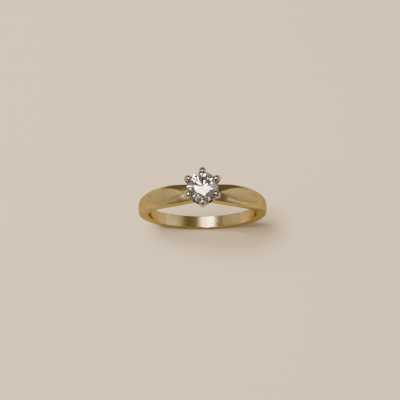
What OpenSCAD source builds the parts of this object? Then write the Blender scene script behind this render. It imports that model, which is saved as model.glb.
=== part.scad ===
// Solitaire engagement ring: a yellow gold hoop with two leaf shoulders soldered over its
// top, and a white gold head of six claws on two gallery rings that holds a round
// brilliant. Millimetres. The finger hole runs along Y and the head stands up along +Z.

/* [Hoop] */
// Inside diameter of the finger hole
finger_d = 16.9; // [15:0.1:20]
// Thickness of the band at the bottom of the hoop
band_bottom_t = 1.35; // [1.2:0.05:1.6]
// Thickness of the whole band, hoop and shoulder together, at the top
band_top_t = 1.9; // [1.8:0.05:2.2]
// Width of the band over its lower half
band_w = 1.9; // [1.8:0.1:2.4]
// Height above the middle of the finger hole where the band has narrowed to that width
taper_end = 1.2; // [0:0.1:3]
// Radius of the rounding across the outside of the band
court_r = 3.4; // [2.6:0.1:6]
// Thickness of the hoop where the shoulders and the head sit on it
seat_t = 0.8; // [0.7:0.05:1]

/* [Leaf shoulders] */
// Width of a shoulder where it is widest
shoulder_w = 3.05; // [2.6:0.05:3.4]
// Width of the band beside the head
neck_w = 2.5; // [2.2:0.05:3]
// Angle from the top of the ring to the lower end of a shoulder
shoulder_end = 60; // [58:1:66]
// Angle from the top of the ring to the middle of the leaf
leaf_angle = 35; // [33:1:37]
// Depth of the leaf at its middle
leaf_depth = 0.3; // [0.15:0.01:0.32]
// Radius of the leaf's floor along the band
leaf_floor_r = 20; // [16:1:24]
// Radius of the leaf's hollow across the band
leaf_hollow_r = 3; // [2:0.1:4]

/* [Stone] */
// Diameter of the brilliant at its girdle
stone_d = 4.6; // [4.3:0.1:4.8]
// Height of the girdle above the top of the band
stone_rise = 2.7; // [2.3:0.1:3.1]
// Width of the table as a share of the diameter
table_share = 0.57; // [0.53:0.01:0.6]
// Angle of the kite facets to the girdle
crown_angle = 34.5; // [33:0.5:35]
// Angle of the pavilion main facets to the girdle
pavilion_angle = 40.8; // [40.4:0.2:41.4]
// Thickness of the girdle
girdle_t = 0.14; // [0.1:0.01:0.18]

/* [Head] */
// Diameter of a claw's leg
claw_d = 1; // [0.8:0.02:1.04]
// Diameter of a claw's rounded tip
tip_d = 0.9; // [0.6:0.02:0.94]
// Thickness of the gallery rings' wire
gallery_wire_d = 0.5; // [0.4:0.02:0.56]
// Diameter of the peg that holds the head in the hoop
peg_d = 1; // [0.8:0.1:1.2]

/* [Hidden] */
$fn = 180;

// Cutters are big, run past the face that they cut by spare, and lap over each other by lap.
big = 30;
spare = 1;
lap = 0.01;
wire_fn = 32;
finger_r = finger_d / 2;
seat_r = finger_r + seat_t;

// The outside of the band is round about a centre a little above the finger hole's.
band_r = finger_r + (band_bottom_t + band_top_t) / 2;
band_lift = (band_top_t - band_bottom_t) / 2;
crown_z = band_r + band_lift;
function band_crown_r(angle) =
    band_lift * cos(angle) + sqrt(pow(band_r, 2) - pow(band_lift * sin(angle), 2));

// The side faces widen along a wave from taper_end up to widest_z. Nearer the middle of the
// ring than neck_start they close in on an arc, which is as narrow as the neck at neck_end.
widest_z = crown_z * cos(leaf_angle);
neck_setback = 0.4;
neck_start = crown_z * sin(leaf_angle) - neck_setback;
neck_end = 1.8;
function arc_r(run, drop) = (run * run + drop * drop) / (2 * drop);
taper_parts = 24;
function taper_half_w(z) =
    band_w / 2 + (shoulder_w - band_w) / 4
    * (1 + cos(180 * (widest_z - z) / (widest_z - taper_end)));
neck_arc_r = arc_r(neck_start - neck_end, (shoulder_w - neck_w) / 2);
bore_length = 1.8;
comfort_run = shoulder_w - bore_length / 2;
comfort_flare = 0.4;

// Stone heights are measured from its girdle plane.
stone_r = stone_d / 2;
girdle_z = crown_z + stone_rise;
half_girdle = girdle_t / 2;
table_r = stone_r * table_share;
crown_h = (stone_r - table_r) * tan(crown_angle);
table_z = half_girdle + crown_h;
pavilion_h = stone_r * tan(pavilion_angle);
culet_z = half_girdle + pavilion_h;
mains = 8;
step = 360 / mains;
star_angle = 21.5;
lower_half_share = 0.77;
seat_gap = 0.02;

// The head's base stands on the hoop, and base_sink is how far it runs down to meet it.
base_z = seat_r;
base_h = 0.6;
base_sink = 0.3;
base_top_z = base_z + base_h;
base_foot_r = 1.68;
base_top_r = 1.95;
base_flare = (base_top_r - base_foot_r) / base_h;

// A claw's centreline: foot, girdle, bend and tip, each as [distance from the axis, height].
claw_foot = [1.2, base_z];
claw_girdle = [stone_r + 0.33, girdle_z];
claw_bend = [stone_r + 0.3, girdle_z + 0.16];
claw_tip = [stone_r - 0.06, girdle_z + 0.42];
function claw_r_at(z) =
    claw_foot[0] + (claw_girdle[0] - claw_foot[0]) * (z - claw_foot[1])
    / (claw_girdle[1] - claw_foot[1]);
lower_gallery_z = base_top_z + 0.62;
upper_gallery_z = girdle_z - 1;
claws = 6;
first_claw = 90;
leg_lead = 0.2;
bend_share = 0.96;
knuckle_share = 1.05;

// The shoulders are hollowed round the head by a cone that clears the legs.
head_gap = 0.05;
head_clear_r0 = claw_r_at(base_z) + claw_d / 2 + head_gap;
head_clear_r1 = claw_r_at(crown_z + spare) + claw_d / 2 + head_gap;

// ---- yellow gold ----

module along_y(h) {
    rotate([90, 0, 0]) translate([0, 0, -h / 2]) children();
}

module finger_hole() {
    along_y(big) cylinder(h = big, r = finger_r);
}

// The finger hole opens a little towards its two edges, so that the ring slides on easily.
module comfort_edges() {
    for (side = [0, 180])
        rotate([90, 0, side])
            translate([0, 0, bore_length / 2])
                cylinder(h = comfort_run, r1 = finger_r, r2 = finger_r + comfort_flare);
}

module court_round() {
    translate([0, 0, band_lift])
        rotate([90, 0, 0])
            rotate_extrude()
                intersection() {
                    translate([band_r - court_r, 0]) circle(r = court_r);
                    translate([finger_r / 2, -court_r]) square([band_r, 2 * court_r]);
                }
}

// Outline of the band seen along X, as [y, z].
module side_outline() {
    rise = (widest_z - taper_end) / taper_parts;
    right = [
        [band_w / 2, -big / 2],
        for (i = [0 : taper_parts])
            let (z = taper_end + i * rise) [taper_half_w(z), z],
        [shoulder_w / 2, big / 2]
    ];
    left = [for (i = [len(right) - 1 : -1 : 0]) [-right[i][0], right[i][1]]];
    polygon([each right, each left]);
}

// Outline of the band seen along Z, as [x, y].
module plan_outline() {
    for (side = [0, 180])
        rotate(side) {
            translate([neck_start, -shoulder_w]) square([big / 2, 2 * shoulder_w]);
            intersection() {
                translate([neck_start, shoulder_w / 2 - neck_arc_r]) circle(r = neck_arc_r);
                translate([neck_start, neck_arc_r - shoulder_w / 2]) circle(r = neck_arc_r);
                translate([-lap, -shoulder_w])
                    square([neck_start + 2 * lap, 2 * shoulder_w]);
            }
        }
}

// The whole gold band, before it is parted into the hoop and the shoulders.
module band_envelope() {
    intersection() {
        court_round();
        rotate([90, 0, 90]) translate([0, 0, -big / 2]) linear_extrude(big) side_outline();
        union() {
            translate([0, 0, -lap]) linear_extrude(big) plan_outline();
            translate([-big / 2, -shoulder_w, -big]) cube([big, 2 * shoulder_w, big]);
        }
    }
}

// The sector of the ring between two angles from the top, towards +X.
sector_parts = 4;
module sector(from, to) {
    turn = (to - from) / sector_parts;
    along_y(big)
        linear_extrude(big)
            polygon([[0, 0], for (a = [from : turn : to]) big * [sin(a), cos(a)]]);
}

module seat_cylinder() {
    along_y(big) cylinder(h = big, r = seat_r);
}

module hoop() {
    color("goldenrod")
        difference() {
            band_envelope();
            finger_hole();
            comfort_edges();
            difference() {
                sector(-shoulder_end, shoulder_end);
                seat_cylinder();
            }
            cylinder(h = big, d = peg_d);
        }
}

// The hollow leaf is a ring-shaped cutter laid along the shoulder.
module leaf_cutter() {
    floor_mid_r = band_crown_r(leaf_angle) - leaf_depth;
    rotate([0, leaf_angle, 0])
        translate([0, 0, floor_mid_r - leaf_floor_r])
            rotate([90, 0, 0])
                rotate_extrude()
                    translate([leaf_floor_r + leaf_hollow_r, 0])
                        circle(r = leaf_hollow_r);
}

module head_clearance() {
    translate([0, 0, base_z - spare]) cylinder(h = spare + lap, r = head_clear_r0);
    translate([0, 0, base_z])
        cylinder(h = crown_z + spare - base_z, r1 = head_clear_r0, r2 = head_clear_r1);
}

module shoulder_right() {
    color("goldenrod")
        difference() {
            intersection() {
                band_envelope();
                sector(0.5, shoulder_end);
            }
            seat_cylinder();
            leaf_cutter();
            head_clearance();
        }
}

module shoulder_left() {
    mirror([1, 0, 0]) shoulder_right();
}

// ---- white gold head ----

module head_peg() {
    color("gainsboro")
        difference() {
            translate([0, 0, finger_r - spare])
                cylinder(h = base_top_z - finger_r + spare, d = peg_d);
            finger_hole();
        }
}

module head_base() {
    color("gainsboro")
        difference() {
            translate([0, 0, base_z - base_sink])
                cylinder(
                    h = base_h + base_sink,
                    r1 = base_foot_r - base_flare * base_sink,
                    r2 = base_top_r
                );
            seat_cylinder();
            cylinder(h = big, d = peg_d);
        }
}

// A straight round wire between two points given as [distance from the axis, height].
module wire(from, to, r_from, r_to) {
    run = to - from;
    translate([from[0], 0, from[1]])
        rotate([0, atan2(run[0], run[1]), 0])
            cylinder(h = norm(run), r1 = r_from, r2 = r_to, $fn = wire_fn);
}

module claw_leg() {
    below = claw_foot - leg_lead * (claw_girdle - claw_foot);
    wire(below, claw_girdle, claw_d / 2, claw_d / 2);
}

// A rounded corner of the wire, a little fuller than the wire that it joins.
module knuckle(at, wire_r) {
    translate([at[0], 0, at[1]]) sphere(r = wire_r * knuckle_share, $fn = wire_fn);
}

module claw_wire() {
    leg_r = claw_d / 2;
    claw_leg();
    knuckle(claw_girdle, leg_r);
    wire(claw_girdle, claw_bend, leg_r, leg_r);
    knuckle(claw_bend, leg_r);
    wire(claw_bend, claw_tip, leg_r * bend_share, tip_d / 2);
    knuckle(claw_tip, tip_d / 2);
}

// The notch that a claw is cut with: the stone's own outline and a hair more.
module stone_notch() {
    r = stone_r + seat_gap;
    top = half_girdle + seat_gap;
    translate([0, 0, girdle_z])
        rotate_extrude()
            polygon([
                [0, -top - pavilion_h], [r, -top], [r, top],
                [table_r, top + crown_h], [0, top + crown_h]
            ]);
}

module claw(number) {
    color("gainsboro")
        difference() {
            rotate([0, 0, first_claw + number * 360 / claws]) claw_wire();
            stone_notch();
            translate([0, 0, base_top_z - big]) cylinder(h = big, r = big);
        }
}

module gallery_ring(z) {
    color("gainsboro")
        difference() {
            translate([0, 0, z])
                rotate_extrude()
                    translate([claw_r_at(z) - claw_d / 2, 0])
                        circle(d = gallery_wire_d, $fn = wire_fn);
            for (number = [0 : claws - 1])
                rotate([0, 0, first_claw + number * 360 / claws]) claw_leg();
        }
}

// ---- brilliant ----

// Distance from the axis and height of the corner where two kites meet a star.
star_edge_r = table_r * cos(step / 2);
kite_corner_r = (stone_r * tan(crown_angle) + half_girdle - table_z
    - star_edge_r * tan(star_angle))
    / (cos(step / 2) * tan(crown_angle) - tan(star_angle));
kite_corner_z = table_z - (kite_corner_r - star_edge_r) * tan(star_angle);

// The same for the corner where two pavilion mains meet, measured down from the girdle.
main_corner_r = stone_r * (1 - lower_half_share);
main_corner_z = half_girdle
    + (stone_r - main_corner_r * cos(step / 2)) * tan(pavilion_angle);

// The half facets meet the round girdle along arcs, each drawn as edge_parts short edges.
edge_parts = 4;
girdle_n = 2 * mains * edge_parts;
half_edge_r = stone_r * cos(step / 4);
function half_slope(corner_r, corner_z) =
    (corner_z - half_girdle) / (half_edge_r - corner_r * cos(step / 4));
function around(azimuth, r, z) = [r * cos(azimuth), r * sin(azimuth), z];
function girdle_edge(j, slope) =
    let (
        azimuth = j * 360 / girdle_n,
        off = azimuth % (step / 2) - step / 4
    )
    around(azimuth, stone_r, half_girdle + (half_edge_r - stone_r * cos(off)) * slope);
function below_girdle(p) = [p[0], p[1], -p[2]];

upper_slope = half_slope(kite_corner_r, kite_corner_z);
lower_slope = half_slope(main_corner_r, main_corner_z);
stone_points = [
    for (k = [0 : mains - 1]) around(k * step, table_r, table_z),
    for (k = [0 : mains - 1]) around((k + 0.5) * step, kite_corner_r, kite_corner_z),
    for (j = [0 : girdle_n - 1]) girdle_edge(j, upper_slope),
    for (j = [0 : girdle_n - 1]) below_girdle(girdle_edge(j, lower_slope)),
    for (k = [0 : mains - 1]) below_girdle(around((k + 0.5) * step, main_corner_r, main_corner_z)),
    [0, 0, -culet_z]
];

// Where each ring of points starts in the list above.
kites_at = mains;
upper_at = 2 * mains;
lower_at = upper_at + girdle_n;
corners_at = lower_at + girdle_n;
culet_at = corners_at + mains;
function in_ring(start, count, i) = start + (i + count) % count;
function kite(i) = in_ring(kites_at, mains, i);
function upper(j) = in_ring(upper_at, girdle_n, j);
function lower(j) = in_ring(lower_at, girdle_n, j);
function corner(i) = in_ring(corners_at, mains, i);

stone_faces = [
    [for (k = [mains - 1 : -1 : 0]) k],
    for (k = [0 : mains - 1])
        let (on = 2 * edge_parts * k, between = on + edge_parts, next = on + 2 * edge_parts)
        each [
            [k, kite(k), upper(on), kite(k - 1)],
            [k, (k + 1) % mains, kite(k)],
            [kite(k), for (j = [between : -1 : on]) upper(j)],
            [kite(k), for (j = [next : -1 : between]) upper(j)],
            [culet_at, corner(k - 1), lower(on), corner(k)],
            [corner(k), for (j = [on : between]) lower(j)],
            [corner(k), for (j = [between : next]) lower(j)]
        ],
    for (j = [0 : girdle_n - 1]) [upper(j), upper(j + 1), lower(j + 1), lower(j)]
];

module diamond() {
    color([0.9, 0.93, 0.96, 0.6])
        translate([0, 0, girdle_z])
            polyhedron(points = stone_points, faces = stone_faces, convexity = 2);
}

hoop();
shoulder_left();
shoulder_right();
head_peg();
head_base();
gallery_ring(lower_gallery_z);  // lower_gallery_ring
gallery_ring(upper_gallery_z);  // upper_gallery_ring
claw(0);  // claw_back
claw(1);  // claw_back_left
claw(2);  // claw_front_left
claw(3);  // claw_front
claw(4);  // claw_front_right
claw(5);  // claw_back_right
diamond();
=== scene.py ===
"""Looks for a solitaire engagement ring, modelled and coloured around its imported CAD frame."""

import math

import bpy
from bpy.props import FloatProperty, FloatVectorProperty, PointerProperty
from mathutils import Matrix, Vector


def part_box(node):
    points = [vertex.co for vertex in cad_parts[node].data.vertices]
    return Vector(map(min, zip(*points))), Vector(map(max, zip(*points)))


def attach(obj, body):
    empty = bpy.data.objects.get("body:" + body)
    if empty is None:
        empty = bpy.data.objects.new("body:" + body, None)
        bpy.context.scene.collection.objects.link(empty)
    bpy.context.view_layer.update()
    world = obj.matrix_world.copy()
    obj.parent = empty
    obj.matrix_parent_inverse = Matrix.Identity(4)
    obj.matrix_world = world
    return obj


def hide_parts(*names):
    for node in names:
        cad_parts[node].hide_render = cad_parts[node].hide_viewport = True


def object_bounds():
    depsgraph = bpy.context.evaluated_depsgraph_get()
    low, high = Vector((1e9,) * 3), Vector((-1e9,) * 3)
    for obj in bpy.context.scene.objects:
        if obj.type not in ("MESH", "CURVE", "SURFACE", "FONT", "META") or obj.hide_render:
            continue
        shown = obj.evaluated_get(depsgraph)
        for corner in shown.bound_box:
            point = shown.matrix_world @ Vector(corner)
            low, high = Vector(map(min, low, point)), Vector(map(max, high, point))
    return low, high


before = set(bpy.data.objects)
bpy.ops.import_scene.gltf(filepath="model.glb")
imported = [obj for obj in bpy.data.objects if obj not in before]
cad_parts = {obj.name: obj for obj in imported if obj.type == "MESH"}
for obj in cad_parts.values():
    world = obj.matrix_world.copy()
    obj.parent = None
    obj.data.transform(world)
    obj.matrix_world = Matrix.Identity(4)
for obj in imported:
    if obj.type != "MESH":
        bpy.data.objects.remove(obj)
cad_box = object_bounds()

bl_info = {
    "name": "Solitaire ring",
    "version": (1, 0, 0),
    "blender": (4, 5, 0),
    "location": "3D View > Sidebar > Ring",
    "description": "Builds the looks of a six-claw solitaire ring with leaf shoulders",
    "category": "Object",
}

MM = 0.001

# Along the band, angles are measured from the top of the ring.
SHOULDER_START = math.radians(6)
SHOULDER_END = math.radians(60)
SHOULDER_RINGS = 121
LOWER_RINGS = 201
NECK_SETBACK = 0.4 * MM
NECK_END = 1.8 * MM
STRAIGHT_BORE = 0.9 * MM
BORE_FLARE = 0.186
OUTER_ROUND = 0.16 * MM
BORE_ROUND = 0.1 * MM
ROUND_PARTS = 4
POLISHED_OFF = 0.006 * MM

# A leaf's outline, hollow and step fade to its two ends. Each FADE holds the power for the end
# by the head, then the one for the outer end.
LEAF_MIDDLE = math.radians(35)
LEAF_HALF_SPAN = math.radians(19.8)
LEAF_STEP = 0.08 * MM
LEAF_WALL = 0.05 * MM
LEAF_LEAST = 0.1 * MM
LEAF_ABOVE_SEAT = 0.2 * MM
LEAF_OUTLINE_FADE = (1.0, 0.45)
LEAF_HOLLOW_FADE = (1.2, 0.9)
LEAF_STEP_FADE = (1.0, 0.7)
LEAF_STEP_RISE = 3
LEAF_PLACES = (0.0, 0.25, 0.5, 0.75, 0.92, 1.0)
RIM_PLACES = (0.0, 0.12, 0.35, 0.62, 0.85)

CROWN_ANGLE = math.radians(34.5)
PAVILION_ANGLE = math.radians(40.8)
STONE_GAP = 0.02 * MM
NOTCH_CROWN = 0.6 * MM
NOTCH_PAVILION = 1.7 * MM

CLAW_FOOT = 1.2 * MM
CLAW_GAP = 0.33 * MM
CLAW_KNEE = 0.29 * MM
CLAW_TURN = math.radians(75.6)
CLAW_SIDES = 32
BEND_STEPS = 14
TIP_STEP = math.radians(12)
TIP_STEPS = 7
HEAD_GAP = 0.05 * MM

ROUND_SIDES = 96
WELD = 0.0005 * MM
SMOOTH_BELOW = math.radians(35)

# Specular tints darker than the metals' own, which dim their grazing reflections: painted shade at
# the edges and band ends.
GOLD_EDGE_SHADE = (0.5, 0.5, 0.4)
WHITE_GOLD_EDGE_SHADE = (0.4, 0.38, 0.35)
WARM_LIGHT = (1.0, 0.88, 0.74)
ROOM_LIGHT = (0.62, 0.54, 0.45)
CLAW_AZIMUTHS = {
    "back": 90,
    "back_left": 150,
    "front_left": 210,
    "front": 270,
    "front_right": 330,
    "back_right": 30,
}


# ---- sizes and colours a user would change ----


def length(name, description, millimetres):
    return FloatProperty(
        name=name,
        description=description,
        default=millimetres * MM,
        min=0.0,
        unit="LENGTH",
        precision=5,
    )


def colour(name, description, default):
    return FloatVectorProperty(
        name=name,
        description=description,
        default=default,
        size=3,
        min=0.0,
        max=1.0,
        subtype="COLOR",
    )


class RingSizes(bpy.types.PropertyGroup):
    """Sizes of the band, the claws and the stone's edge, at or near those of the CAD frame."""

    finger_diameter: length("Finger hole", "Inside diameter of the hoop", 16.9)
    bottom_thickness: length("Bottom thickness", "Band thickness at the bottom", 1.35)
    top_thickness: length("Top thickness", "Band thickness at the top", 1.9)
    seat_thickness: length("Seat thickness", "Hoop thickness under a shoulder", 0.8)
    band_width: length("Band width", "Width of the band's lower half", 1.9)
    taper_end: length("Taper end", "Height where the band has narrowed to that width", 1.2)
    shoulder_width: length("Shoulder width", "Width of a shoulder at its widest", 3.05)
    neck_width: length("Neck width", "Width of the band beside the head", 2.5)
    court_radius: length("Court radius", "Rounding across the band's outside", 3.4)
    leaf_width: length("Leaf width", "Width of the leaf at its middle", 1.96)
    leaf_depth: length("Leaf depth", "Depth of the leaf at its middle", 0.3)
    claw_diameter: length("Claw diameter", "Thickness of a claw's leg", 1.0)
    claw_tip: length("Claw tip", "Thickness of a claw where it is rounded off", 0.92)
    claw_bend: length("Claw bend", "Radius that a claw is bent over the stone to", 0.55)
    girdle_thickness: length("Girdle", "Thickness of the stone's edge", 0.14)


class RingColours(bpy.types.PropertyGroup):
    """Colours of the metals, the stone and the floor."""

    gold: colour("Gold", "Polished yellow gold", (0.50, 0.41, 0.2))
    gold_deep: colour("Deep gold", "Yellow gold where it is duller", (0.37, 0.3, 0.135))
    white_gold: colour("White gold", "Metal of the head", (0.46, 0.44, 0.405))
    white_gold_deep: colour("Dull white gold", "White gold where it is worn", (0.33, 0.31, 0.28))
    stone: colour("Stone", "Tint of the brilliant", (0.95, 0.89, 0.85))
    floor: colour("Floor", "Pale floor", (0.82, 0.69, 0.51))


# ---- shader maths ----


class Term:
    """A shader socket that takes part in ordinary arithmetic."""

    def __init__(self, shader, socket):
        self.shader = shader
        self.socket = socket

    def math(self, operation, *values):
        sockets = dict(enumerate(values))
        node = self.shader.node("ShaderNodeMath", {"operation": operation}, sockets)
        return Term(self.shader, node.outputs[0])

    def __add__(self, other):
        return self.math("ADD", self, other)

    def __radd__(self, other):
        return self.math("ADD", other, self)

    def __sub__(self, other):
        return self.math("SUBTRACT", self, other)

    def __rsub__(self, other):
        return self.math("SUBTRACT", other, self)

    def __mul__(self, other):
        return self.math("MULTIPLY", self, other)

    def __rmul__(self, other):
        return self.math("MULTIPLY", other, self)


class Shader:
    """A material whose nodes are written as Python expressions."""

    def __init__(self, name):
        self.material = bpy.data.materials.new(name)
        self.material.use_nodes = True
        self.tree = self.material.node_tree
        self.tree.nodes.clear()
        self.place = self.node("ShaderNodeTexCoord").outputs["Object"]

    def node(self, kind, settings=None, sockets=None):
        node = self.tree.nodes.new(kind)
        for name, value in (settings or {}).items():
            setattr(node, name, value)
        for name, value in (sockets or {}).items():
            self.feed(node.inputs[name], value)
        return node

    def feed(self, socket, value):
        if isinstance(value, Term):
            value = value.socket
        if isinstance(value, bpy.types.NodeSocket):
            self.tree.links.new(value, socket)
        else:
            socket.default_value = value

    def noise(self, scale, detail=2.0, stretch=None):
        """Noise whose cells are about 1 / scale metres across."""
        place = self.place
        if stretch:
            mapping = self.node("ShaderNodeMapping", {}, {"Vector": place, "Scale": stretch})
            place = mapping.outputs["Vector"]
        settings = {"Vector": place, "Scale": scale, "Detail": detail}
        return Term(self, self.node("ShaderNodeTexNoise", {}, settings).outputs["Fac"])

    def between(self, factor, first, second):
        node = self.node(
            "ShaderNodeMix",
            {"data_type": "RGBA"},
            {"Factor": factor, 6: (*first, 1.0), 7: (*second, 1.0)},
        )
        return node.outputs[2]

    def sharpened(self, value, low, high):
        sockets = {"Value": value, "From Min": low, "From Max": high}
        return Term(self, self.node("ShaderNodeMapRange", {}, sockets).outputs["Result"])

    def bump(self, height, strength, distance):
        sockets = {"Height": height, "Strength": strength, "Distance": distance}
        return self.node("ShaderNodeBump", {}, sockets).outputs["Normal"]

    def finish(self, sockets):
        surface = self.node("ShaderNodeBsdfPrincipled", {}, sockets)
        output = self.node("ShaderNodeOutputMaterial")
        self.tree.links.new(surface.outputs[0], output.inputs["Surface"])
        return self.material


def polished_metal(name, bright, dull, edge, base_roughness):
    """Polished metal with faint cloudiness, fine scratches and a few deeper ones from wear."""
    shader = Shader(name)
    clouds = shader.noise(420.0, 3.0)
    scratches = shader.noise(2600.0, 4.0, (1.0, 0.12, 1.0))
    nicks = shader.sharpened(shader.noise(1900.0, 1.0, (0.15, 1.0, 1.0)), 0.68, 0.78)
    wear = shader.sharpened(clouds, 0.35, 0.75)
    return shader.finish(
        {
            "Base Color": shader.between(wear, bright, dull),
            "Metallic": 1.0,
            # The edge tint darkens the grazing reflections: painted shade at the metal's edges.
            "Specular Tint": (*edge, 1.0),
            "Roughness": base_roughness + wear * 0.08 + scratches * 0.06 + nicks * 0.1,
            "Normal": shader.bump(scratches - nicks, 0.12, 0.02 * MM),
        }
    )


def satin_metal(name, bright, dull):
    """Satin metal, brushed across the leaf."""
    shader = Shader(name)
    brush = shader.noise(5200.0, 3.0, (1.0, 0.08, 1.0))
    clouds = shader.noise(500.0, 2.0)
    shade = shader.sharpened(clouds * 0.6 + brush * 0.4, 0.3, 0.7)
    return shader.finish(
        {
            "Base Color": shader.between(shade, bright, dull),
            "Metallic": 1.0,
            "Roughness": 0.34 + brush * 0.14,
            "Normal": shader.bump(brush, 0.35, 0.03 * MM),
        }
    )


def clear_stone(name, tint):
    """Clear stone with a high index, so that its facets flash."""
    shader = Shader(name)
    haze = shader.noise(900.0, 2.0)
    return shader.finish(
        {
            "Base Color": shader.between(haze, tint, tuple(0.97 * c for c in tint)),
            "Roughness": haze * 0.02,
            "IOR": 2.417,
            "Transmission Weight": 1.0,
        }
    )


def soft_floor(name, tint):
    """Matt pale floor with a faint mottle."""
    shader = Shader(name)
    mottle = shader.noise(60.0, 4.0)
    return shader.finish(
        {
            "Base Color": shader.between(mottle, tint, tuple(0.96 * c for c in tint)),
            "Roughness": 0.85 + mottle * 0.1,
        }
    )


# ---- band shape ----


def crown_radius(sizes, angle):
    """Radius of the band's outside, on the middle of its width, a hair inside the CAD's."""
    inner = sizes.finger_diameter / 2
    radius = inner + (sizes.bottom_thickness + sizes.top_thickness) / 2
    lift = (sizes.top_thickness - sizes.bottom_thickness) / 2
    round_crown = math.sqrt(radius**2 - (lift * math.sin(angle)) ** 2)
    return lift * math.cos(angle) + round_crown - POLISHED_OFF


def arc_drop(run, reach, drop):
    """How far an arc has fallen at run, when it falls by drop at reach."""
    radius = (reach**2 + drop**2) / (2 * drop)
    return radius - math.sqrt(max(radius**2 - run**2, 0.0))


def half_width(sizes, angle):
    """Half the band's width at an angle from the top."""
    angle = abs(angle)
    crown = crown_radius(sizes, angle)
    height = crown * math.cos(angle)
    side = crown * math.sin(angle)
    widest = crown_radius(sizes, 0) * math.cos(LEAF_MIDDLE)
    fallen = min(max((widest - height) / (widest - sizes.taper_end), 0.0), 1.0)
    narrow, wide = sizes.band_width / 2, sizes.shoulder_width / 2
    half = narrow + (wide - narrow) * (1 + math.cos(math.pi * fallen)) / 2
    neck_start = crown_radius(sizes, 0) * math.sin(LEAF_MIDDLE) - NECK_SETBACK
    if side < neck_start:
        pinch = (sizes.shoulder_width - sizes.neck_width) / 2
        drop = arc_drop(neck_start - side, neck_start - NECK_END, pinch)
        half = min(half, sizes.shoulder_width / 2 - drop)
    return half


def court_drop(sizes, across):
    """How far the rounded outside has fallen from the middle of the band's width."""
    return sizes.court_radius - math.sqrt(sizes.court_radius**2 - across**2)


def leaf_share(angle, fade):
    """1 at the middle of the leaf, falling to 0 at its tip by the head and at its outer end."""
    head_power, end_power = fade
    run = (abs(angle) - LEAF_MIDDLE) / LEAF_HALF_SPAN
    if abs(run) >= 1:
        return 0.0
    return (1 - run**2) ** (head_power if run < 0 else end_power)


def leaf_half(sizes, angle):
    """Half the leaf's width: pointed by the head, and rounded at the outer end."""
    return sizes.leaf_width / 2 * leaf_share(angle, LEAF_OUTLINE_FADE)


def rounded(before, corner, after, radius):
    """Points of a rounded corner between two straight sides."""
    corner, before, after = Vector(corner), Vector(before), Vector(after)
    start = corner + (before - corner).normalized() * radius
    end = corner + (after - corner).normalized() * radius
    points = []
    for i in range(ROUND_PARTS + 1):
        t = i / ROUND_PARTS
        points.append(tuple(start * (1 - t) ** 2 + corner * 2 * t * (1 - t) + end * t**2))
    return points


def outer_face(sizes, angle, half):
    """The outside of a section from the middle to its edge, as [across, radius]."""
    crown = crown_radius(sizes, angle)
    leaf = max(leaf_half(sizes, angle), LEAF_LEAST)
    depth = (sizes.leaf_depth - LEAF_STEP) * leaf_share(angle, LEAF_HOLLOW_FADE)
    step = LEAF_STEP * min(1.0, LEAF_STEP_RISE * leaf_share(angle, LEAF_STEP_FADE))
    points = []
    for t in LEAF_PLACES:
        hollow = depth * (1 - t**2) + step
        points.append((leaf * t, crown - court_drop(sizes, leaf * t) - hollow))
    for t in RIM_PLACES:
        across = leaf + LEAF_WALL + (half - leaf - LEAF_WALL) * t
        points.append((across, crown - court_drop(sizes, across)))
    return points


def mirrored(right):
    """The whole closed section from its right half, which starts and ends on the middle."""
    left = [(-across, radius) for across, radius in right[1:-1]]
    return right + left[::-1]


def inner_radius(sizes, across):
    """The finger hole flares slightly from its straight middle to each edge."""
    return sizes.finger_diameter / 2 + BORE_FLARE * max(across - STRAIGHT_BORE, 0.0)


def seat_radius(sizes):
    """Radius of the round seat that the shoulders stand on."""
    return sizes.finger_diameter / 2 + sizes.seat_thickness


def shoulder_section(sizes, angle):
    half = half_width(sizes, angle)
    seat = seat_radius(sizes)
    face = outer_face(sizes, angle, half)
    edge = (half, crown_radius(sizes, angle) - court_drop(sizes, half))
    corner = rounded(face[-1], edge, (half, seat), OUTER_ROUND)
    under = [(half, seat), (half * 0.5, seat), (0.0, seat)]
    return mirrored(face + corner + under)


def hoop_section(sizes, angle, under_shoulder):
    """The hoop's section, which stops at the seat where a shoulder stands on it."""
    half = half_width(sizes, angle)
    bore_edge = (half, inner_radius(sizes, half))
    straight = (STRAIGHT_BORE, sizes.finger_diameter / 2)
    if under_shoulder:
        seat = seat_radius(sizes)
        face = [(across, seat) for across, _ in outer_face(sizes, angle, half)]
        corner = [(half, seat)] * (ROUND_PARTS + 1)
    else:
        face = outer_face(sizes, angle, half)
        edge = (half, crown_radius(sizes, angle) - court_drop(sizes, half))
        corner = rounded(face[-1], edge, bore_edge, OUTER_ROUND)
    inner_corner = rounded((half, bore_edge[1] + MM), bore_edge, straight, BORE_ROUND)
    return mirrored(face + corner + inner_corner + [straight, (0.0, straight[1])])


# ---- modelling ----


def deselect():
    if bpy.context.object and bpy.context.object.mode != "OBJECT":
        bpy.ops.object.mode_set(mode="OBJECT")
    bpy.ops.object.select_all(action="DESELECT")


def select_only(piece):
    deselect()
    piece.select_set(True)
    bpy.context.view_layer.objects.active = piece


def named(name):
    """Names the object that was just made."""
    piece = bpy.context.object
    piece.name = name
    piece.data.name = name
    return piece


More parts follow.
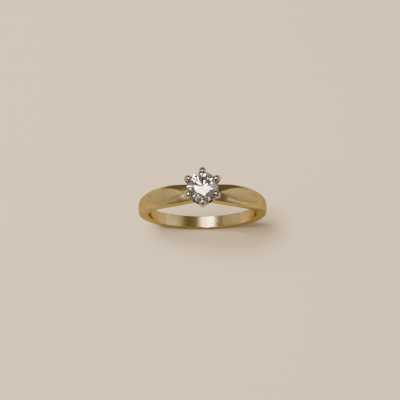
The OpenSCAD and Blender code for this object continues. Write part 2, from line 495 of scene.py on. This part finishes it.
def loft(name, rings):
    """Lays a grid over closed rings of points, joins its long edges and closes its ends."""
    deselect()
    rows, columns = len(rings), len(rings[0])
    bpy.ops.mesh.primitive_grid_add(x_subdivisions=columns, y_subdivisions=rows - 1, size=1.0)
    piece = named(name)
    for vertex in piece.data.vertices:
        row, column = divmod(vertex.index, columns + 1)
        vertex.co = rings[row][column % columns]
    bpy.ops.object.mode_set(mode="EDIT")
    bpy.ops.mesh.select_all(action="SELECT")
    bpy.ops.mesh.remove_doubles(threshold=WELD)
    bpy.ops.mesh.select_all(action="SELECT")
    bpy.ops.mesh.fill_holes(sides=0)
    bpy.ops.mesh.select_all(action="SELECT")
    bpy.ops.mesh.normals_make_consistent(inside=False)
    bpy.ops.object.mode_set(mode="OBJECT")
    return piece


def round_the_finger(section, angle):
    """Stands a flat section on the ring at an angle from the top."""
    return [(r * math.sin(angle), across, r * math.cos(angle)) for across, r in section]


def smooth(piece):
    select_only(piece)
    bpy.ops.object.shade_smooth_by_angle(angle=SMOOTH_BELOW)


def spread(start, end, count):
    """Evenly spaced values with both ends among them."""
    return [start + (end - start) * i / (count - 1) for i in range(count)]


def add_hoop(sizes):
    """Goes once round the finger: under the shoulders, round the bottom, and back to the start."""
    rings = []
    top = [(angle, True) for angle in spread(-SHOULDER_END, SHOULDER_END, SHOULDER_RINGS)]
    bottom = spread(SHOULDER_END, 2 * math.pi - SHOULDER_END, LOWER_RINGS)
    rest = [(angle, False) for angle in bottom]
    for angle, under_shoulder in top + rest + top[:1]:
        turn = (angle + math.pi) % (2 * math.pi) - math.pi
        rings.append(round_the_finger(hoop_section(sizes, turn, under_shoulder), angle))
    return loft("hoop_band", rings)


def stone_radius():
    low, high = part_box("diamond")
    return (high.x - low.x) / 2


def girdle_height(sizes):
    """The stone's girdle stands above its point by the height of the pavilion."""
    rise = stone_radius() * math.tan(PAVILION_ANGLE) + sizes.girdle_thickness / 2
    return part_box("diamond")[0].z + rise


def claw_line(sizes):
    """Where a claw's straight middle line starts on the hoop and reaches the girdle."""
    foot = Vector((CLAW_FOOT, 0.0, seat_radius(sizes)))
    girdle = Vector((stone_radius() + CLAW_GAP, 0.0, girdle_height(sizes)))
    return foot, girdle


def head_hollow(sizes):
    """A cone that clears the claws, to cut the shoulder's inner end with."""
    foot, girdle = claw_line(sizes)
    clear = sizes.claw_diameter / 2 + HEAD_GAP
    deselect()
    bpy.ops.mesh.primitive_cone_add(
        vertices=ROUND_SIDES,
        radius1=foot.x + clear,
        radius2=girdle.x + clear,
        depth=girdle.z - foot.z,
        location=(0.0, 0.0, (foot.z + girdle.z) / 2),
    )
    return named("head_hollow")


def cut(piece, cutter):
    """Takes the cutter's shape out of a piece, and removes the cutter."""
    select_only(piece)
    bpy.ops.object.modifier_add(type="BOOLEAN")
    modifier = piece.modifiers[-1]
    modifier.operation = "DIFFERENCE"
    modifier.solver = "EXACT"
    modifier.object = cutter
    bpy.ops.object.modifier_apply(modifier=modifier.name)
    bpy.data.objects.remove(cutter, do_unlink=True)


def add_shoulder(name, sizes, side):
    """A shoulder on the +X side where side is 1, and on the -X side where it is -1."""
    rings = []
    for angle in spread(SHOULDER_START, SHOULDER_END, SHOULDER_RINGS):
        section = shoulder_section(sizes, angle)
        rings.append(round_the_finger(section, side * angle))
    piece = loft(name, rings)
    cut(piece, head_hollow(sizes))
    return piece


def extrude(move):
    bpy.ops.mesh.extrude_region_move(TRANSFORM_OT_translate={"value": tuple(move)})


def shrink(share, centre):
    bpy.ops.transform.resize(value=(share, share, share), center_override=tuple(centre))


def select_end(piece, side):
    """Selects the flat top where side is 1, or the flat bottom where it is -1."""
    bpy.ops.object.mode_set(mode="EDIT")
    bpy.ops.mesh.select_all(action="DESELECT")
    bpy.ops.object.mode_set(mode="OBJECT")
    for face in piece.data.polygons:
        face.select = side * face.normal.z > 0.9
    bpy.ops.object.mode_set(mode="EDIT")
    bpy.ops.mesh.select_mode(type="FACE")


def stone_notch(sizes):
    """A cutter with the stone's outline and a hair more: girdle, crown and pavilion."""
    radius = stone_radius() + STONE_GAP
    half = sizes.girdle_thickness / 2 + STONE_GAP
    middle = Vector((0.0, 0.0, girdle_height(sizes)))
    deselect()
    bpy.ops.mesh.primitive_cylinder_add(
        vertices=ROUND_SIDES,
        radius=radius,
        depth=2 * half,
        location=middle,
    )
    bpy.ops.object.transform_apply(location=True)
    notch = named("stone_notch")
    cones = ((1, NOTCH_CROWN, CROWN_ANGLE), (-1, NOTCH_PAVILION, PAVILION_ANGLE))
    for side, rise, angle in cones:
        select_end(notch, side)
        extrude((0.0, 0.0, side * rise))
        end = middle + Vector((0.0, 0.0, side * (half + rise)))
        shrink(1 - rise / math.tan(angle) / radius, end)
    bpy.ops.object.mode_set(mode="OBJECT")
    return notch


def add_claw_leg(sizes, knee, along):
    """A round leg from the hoop's seat up to the knee, where the bend starts."""
    foot, _ = claw_line(sizes)
    deselect()
    bpy.ops.mesh.primitive_circle_add(
        vertices=CLAW_SIDES,
        radius=sizes.claw_diameter / 2,
        fill_type="NGON",
        location=foot,
        rotation=(0.0, math.atan2(along.x, along.z), 0.0),
    )
    bpy.ops.object.transform_apply(location=True, rotation=True)
    claw = named("claw_pattern")
    bpy.ops.object.mode_set(mode="EDIT")
    bpy.ops.mesh.select_mode(type="FACE")
    bpy.ops.mesh.select_all(action="SELECT")
    extrude(knee - foot)
    return claw


def round_claw_tip(sizes, end, inward):
    """Draws the selected end inwards in steps, each narrower, to a round tip."""
    tip_radius = sizes.claw_tip / 2
    reached, width = 0.0, sizes.claw_diameter / 2
    for step in range(1, TIP_STEPS + 1):
        turn = TIP_STEP * step
        run, reach = tip_radius * math.sin(turn), tip_radius * math.cos(turn)
        extrude(inward * (run - reached))
        shrink(reach / width, end + inward * run)
        reached, width = run, reach


def trim_at_base():
    """Cuts a claw off flat at the top of the head's base."""
    bpy.ops.mesh.select_all(action="SELECT")
    bpy.ops.mesh.bisect(
        plane_co=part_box("head_base")[1],
        plane_no=(0.0, 0.0, 1.0),
        use_fill=True,
        clear_inner=True,
    )
    bpy.ops.mesh.select_all(action="SELECT")
    bpy.ops.mesh.remove_doubles(threshold=WELD)
    bpy.ops.mesh.normals_make_consistent(inside=False)
    bpy.ops.object.mode_set(mode="OBJECT")


def add_claw(sizes):
    """A claw that leans towards +X: a round leg, a bend over the stone and a rounded tip."""
    foot, girdle = claw_line(sizes)
    along = (girdle - foot).normalized()
    outward = Vector((along.z, 0.0, -along.x))
    knee = girdle - along * CLAW_KNEE
    centre = knee - outward * sizes.claw_bend
    bend = Matrix.Rotation(-CLAW_TURN, 3, "Y")

    claw = add_claw_leg(sizes, knee, along)
    bpy.ops.mesh.spin(steps=BEND_STEPS, angle=CLAW_TURN, center=centre, axis=(0.0, 1.0, 0.0))
    round_claw_tip(sizes, centre + bend @ (knee - centre), bend @ along)
    trim_at_base()
    cut(claw, stone_notch(sizes))
    return claw


def copy_claw(pattern, name, azimuth):
    """A claw with its own mesh, turned round the head to its place."""
    claw = bpy.data.objects.new(name, pattern.data.copy())
    bpy.context.scene.collection.objects.link(claw)
    select_only(claw)
    claw.rotation_euler.z = math.radians(azimuth)
    bpy.ops.object.transform_apply(rotation=True)
    return named(name)


def in_leaf(sizes, centre):
    """Whether a face's centre lies in the leaf, on the outside of the shoulder."""
    angle = math.atan2(abs(centre.x), centre.z)
    radius = math.hypot(centre.x, centre.z)
    outside = radius > seat_radius(sizes) + LEAF_ABOVE_SEAT
    return outside and abs(centre.y) < leaf_half(sizes, angle)


def set_materials(piece, *materials):
    piece.data.materials.clear()
    for material in materials:
        piece.data.materials.append(material)


def dress_shoulder(piece, sizes, polished, satin):
    set_materials(piece, polished, satin)
    for face in piece.data.polygons:
        face.material_index = 1 if in_leaf(sizes, face.center) else 0


# ---- operators ----


def polished_gold(context):
    """The one polished gold that the hoop and the shoulders share."""
    name = "yellow_gold_polished"
    colours = context.scene.ring_colours
    made = bpy.data.materials.get(name)
    return made or polished_metal(name, colours.gold, colours.gold_deep, GOLD_EDGE_SHADE, 0.16)


def polished_white_gold(context):
    colours = context.scene.ring_colours
    return polished_metal(
        "white_gold_polished",
        colours.white_gold,
        colours.white_gold_deep,
        WHITE_GOLD_EDGE_SHADE,
        0.14,
    )


class RING_OT_hoop(bpy.types.Operator):
    """Builds the yellow gold hoop"""

    bl_idname = "ring.hoop"
    bl_label = "Hoop"

    def execute(self, context):
        hoop = add_hoop(context.scene.ring_sizes)
        set_materials(hoop, polished_gold(context))
        smooth(hoop)
        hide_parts("hoop")
        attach(hoop, "root")
        return {"FINISHED"}


class RING_OT_shoulders(bpy.types.Operator):
    """Builds the two leaf shoulders"""

    bl_idname = "ring.shoulders"
    bl_label = "Leaf shoulders"

    def execute(self, context):
        sizes = context.scene.ring_sizes
        colours = context.scene.ring_colours
        polished = polished_gold(context)
        satin = satin_metal("yellow_gold_satin", colours.gold, colours.gold_deep)
        for side, word in ((-1, "left"), (1, "right")):
            shoulder = add_shoulder("leaf_shoulder_" + word, sizes, side)
            dress_shoulder(shoulder, sizes, polished, satin)
            smooth(shoulder)
            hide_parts("shoulder_" + word)
            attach(shoulder, "root")
        return {"FINISHED"}


class RING_OT_head(bpy.types.Operator):
    """Builds the six white gold claws and finishes the base, the peg and the rings"""

    bl_idname = "ring.head"
    bl_label = "Head"

    def execute(self, context):
        metal = polished_white_gold(context)
        for name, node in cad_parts.items():
            if name.startswith(("head", "lower", "upper")):
                set_materials(node, metal)
        pattern = add_claw(context.scene.ring_sizes)
        for place, azimuth in CLAW_AZIMUTHS.items():
            claw = copy_claw(pattern, "bent_claw_" + place, azimuth)
            set_materials(claw, metal)
            smooth(claw)
            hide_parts("claw_" + place)
            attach(claw, "root")
        bpy.data.objects.remove(pattern, do_unlink=True)
        return {"FINISHED"}


class RING_OT_stone(bpy.types.Operator):
    """Finishes the round brilliant"""

    bl_idname = "ring.stone"
    bl_label = "Brilliant"

    def execute(self, context):
        stone = clear_stone("diamond_clear", context.scene.ring_colours.stone)
        set_materials(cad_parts["diamond"], stone)
        return {"FINISHED"}


def aim(location, target, roll=0.0):
    """The matrix of something at location that looks at target."""
    back = (Vector(location) - Vector(target)).normalized()
    turn = back.to_track_quat("Z", "Y").to_matrix().to_4x4()
    return Matrix.Translation(location) @ turn @ Matrix.Rotation(roll, 4, "Z")


def add_softbox(name, location, target, size, power):
    light = bpy.data.lights.new(name, "AREA")
    light.size = size
    light.energy = power
    light.color = WARM_LIGHT
    lamp = bpy.data.objects.new(name, light)
    lamp.matrix_world = aim(location, target)
    bpy.context.scene.collection.objects.link(lamp)


class RING_OT_stage(bpy.types.Operator):
    """Builds the floor, the lights and the camera"""

    bl_idname = "ring.stage"
    bl_label = "Stage"

    def execute(self, context):
        self.add_floor(context)
        self.add_lights(context)
        self.add_camera(context)
        return {"FINISHED"}

    def add_floor(self, context):
        deselect()
        under = (0.0, 0.0, cad_box[0].z)
        bpy.ops.mesh.primitive_grid_add(x_subdivisions=8, y_subdivisions=8, size=1.2, location=under)
        bpy.ops.object.transform_apply(location=True)
        floor = named("floor")
        set_materials(floor, soft_floor("floor_matt", context.scene.ring_colours.floor))

    def add_lights(self, context):
        world = bpy.data.worlds.new("studio")
        world.use_nodes = True
        room = world.node_tree.nodes["Background"]
        room.inputs["Color"].default_value = (*ROOM_LIGHT, 1.0)
        room.inputs["Strength"].default_value = 0.35
        context.scene.world = world
        middle = (0.0, 0.0, 0.0)
        add_softbox("key_softbox", (-0.1, 0.02, 0.38), middle, 0.14, 2.4)
        add_softbox("left_softbox", (-0.34, 0.0, 0.14), middle, 0.3, 0.21)
        add_softbox("right_softbox", (0.34, 0.0, 0.14), middle, 0.3, 0.36)
        add_softbox("table_light", (0.0, 0.064, 0.3), (0.0, 0.064, 0.0), 0.03, 0.06)

    def add_camera(self, context):
        tilt, roll = math.radians(75.2), math.radians(-0.46)
        distance = 180 * MM
        across = Vector((1.0, 0.0, 0.0))
        up = Vector((0.0, math.sin(tilt), math.cos(tilt)))
        back = Vector((0.0, -math.cos(tilt), math.sin(tilt)))
        head, left, down = Vector((0.0, 0.0, 8 * MM)), 0.39 * MM, 0.63 * MM
        target = head - across * left - up * down
        data = bpy.data.cameras.new("camera")
        data.lens = 107.5
        data.sensor_width = 36.0
        data.clip_start = 0.01
        data.clip_end = 10.0
        camera = bpy.data.objects.new("camera", data)
        camera.matrix_world = aim(target + back * distance, target, roll)
        context.scene.collection.objects.link(camera)
        context.scene.camera = camera


class RING_PT_panel(bpy.types.Panel):
    """Lists the ring's parts in the 3D view's sidebar"""

    bl_idname = "RING_PT_panel"
    bl_label = "Solitaire ring"
    bl_space_type = "VIEW_3D"
    bl_region_type = "UI"
    bl_category = "Ring"

    def draw(self, context):
        layout = self.layout
        for group in (context.scene.ring_sizes, context.scene.ring_colours):
            for name in group.__annotations__:
                layout.prop(group, name)
        for part in PARTS:
            layout.operator(part.bl_idname)


PARTS = (RING_OT_stage, RING_OT_hoop, RING_OT_shoulders, RING_OT_head, RING_OT_stone)
CLASSES = (RingSizes, RingColours, *PARTS, RING_PT_panel)


def register():
    for each in CLASSES:
        bpy.utils.register_class(each)
    bpy.types.Scene.ring_sizes = PointerProperty(type=RingSizes)
    bpy.types.Scene.ring_colours = PointerProperty(type=RingColours)


def unregister():
    del bpy.types.Scene.ring_colours
    del bpy.types.Scene.ring_sizes
    for each in reversed(CLASSES):
        bpy.utils.unregister_class(each)


def main():
    register()
    bpy.ops.ring.stage()
    bpy.ops.ring.hoop()
    bpy.ops.ring.shoulders()
    bpy.ops.ring.head()
    bpy.ops.ring.stone()


if __name__ == "__main__":
    main()
